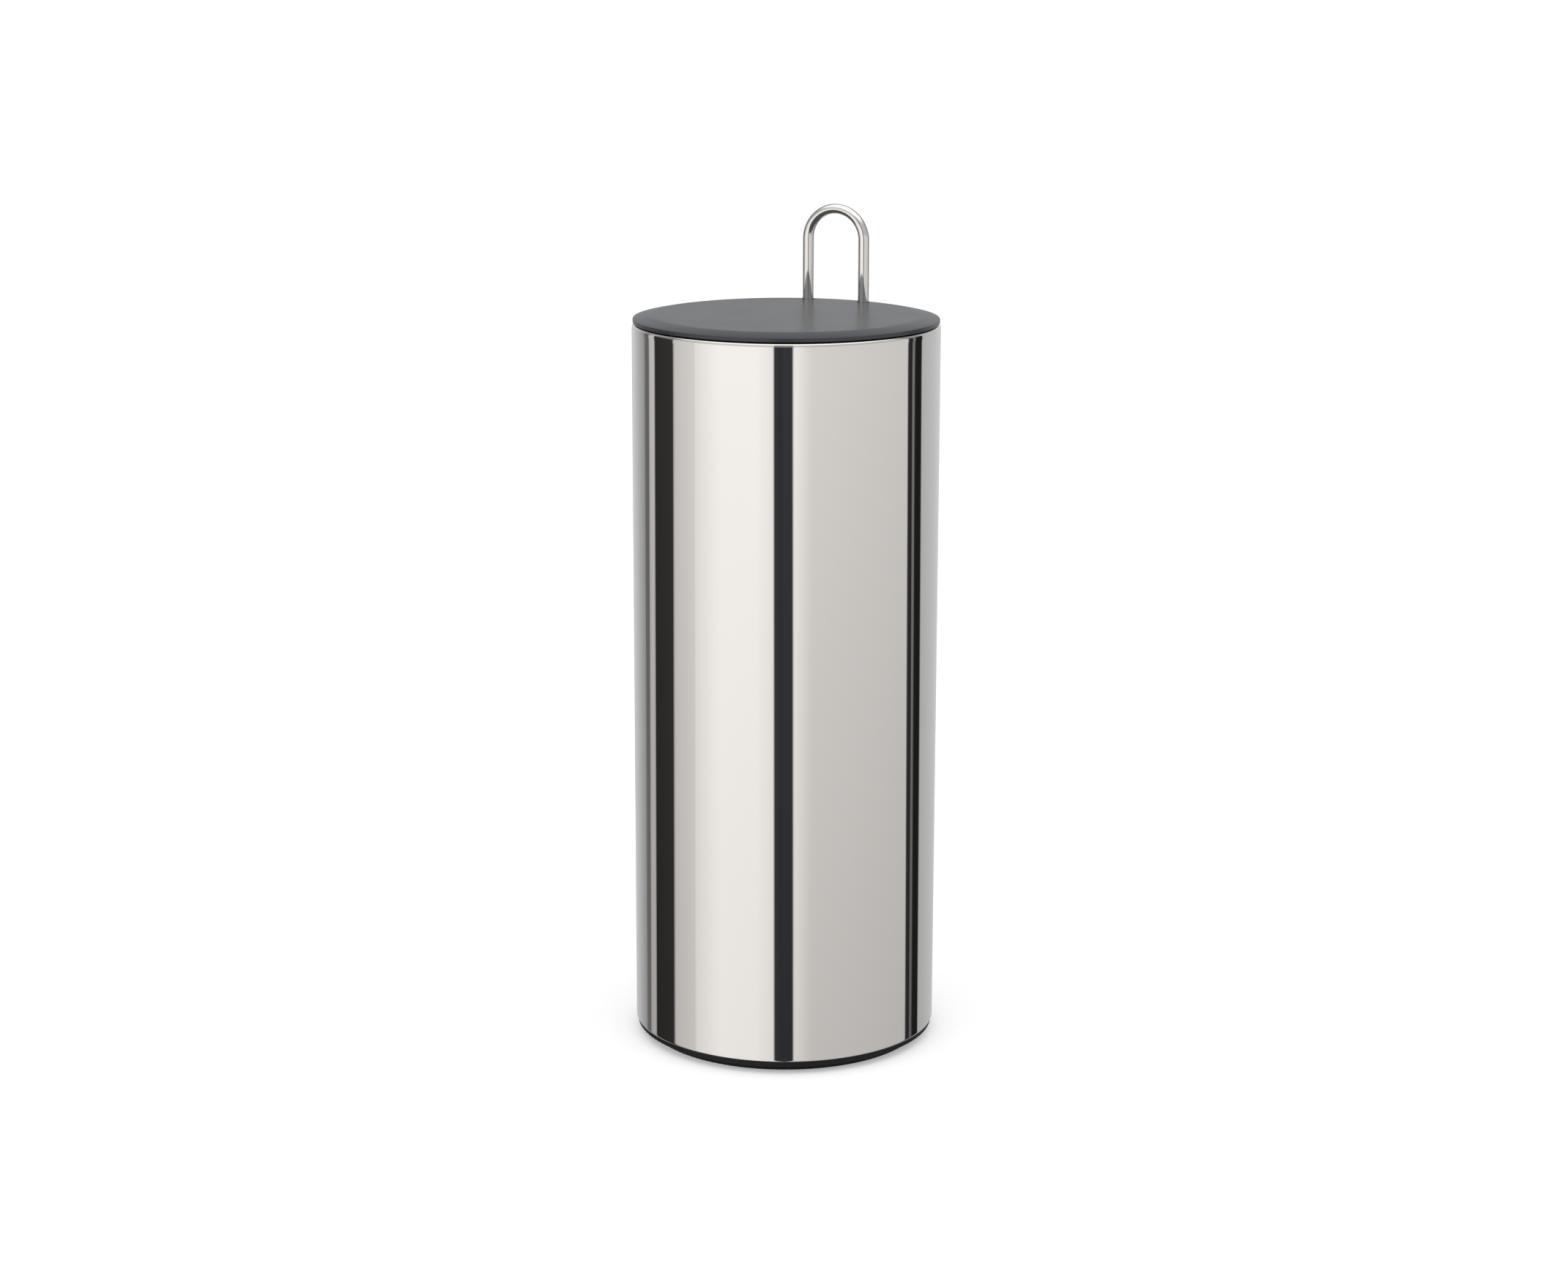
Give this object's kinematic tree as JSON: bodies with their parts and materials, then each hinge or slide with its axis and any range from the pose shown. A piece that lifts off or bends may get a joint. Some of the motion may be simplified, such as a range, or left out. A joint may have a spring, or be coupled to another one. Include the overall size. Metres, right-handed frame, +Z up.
{
  "type": "toilet roll storage canister",
  "caption": "Tall polished steel canister for spare toilet rolls, with a flat dark lid, an off-centre wire loop handle and a lift-out carrier, on a black non-slip base.",
  "frame": {"origin": "centre of the foot ring on the surface that the canister stands on", "axes": "+Z up along the tube, +Y towards the handle, +X to the right seen with the handle at the back"},
  "size_m": [0.143, 0.143, 0.3914],
  "materials": {
    "polished_steel": "mirror-polished stainless sheet",
    "wire_steel": "polished stainless wire",
    "soft_touch_grey": "dark grey soft-touch coat",
    "black_plastic": "fine-textured black moulding",
    "foot_rubber": "soft matte black",
    "screw_steel": "zinc plated"
  },
  "bodies": {
    "canister": {"canister_tube": "polished_steel", "base_moulding": "black_plastic", "foot_ring": "foot_rubber"},
    "carrier": {"carrier_wire": "wire_steel", "carrier_platform": "black_plastic", "leg_screws": "screw_steel", "leg_clips": "screw_steel", "lid_cover": "soft_touch_grey", "lid_insert": "black_plastic", "lid_screws": "screw_steel"}
  },
  "joints": [
    {"name": "carrier_lift", "type": "slide", "parent": "canister", "child": "carrier", "axis": [0, 0, 1], "range_m": [0, 0.42]}
  ]
}
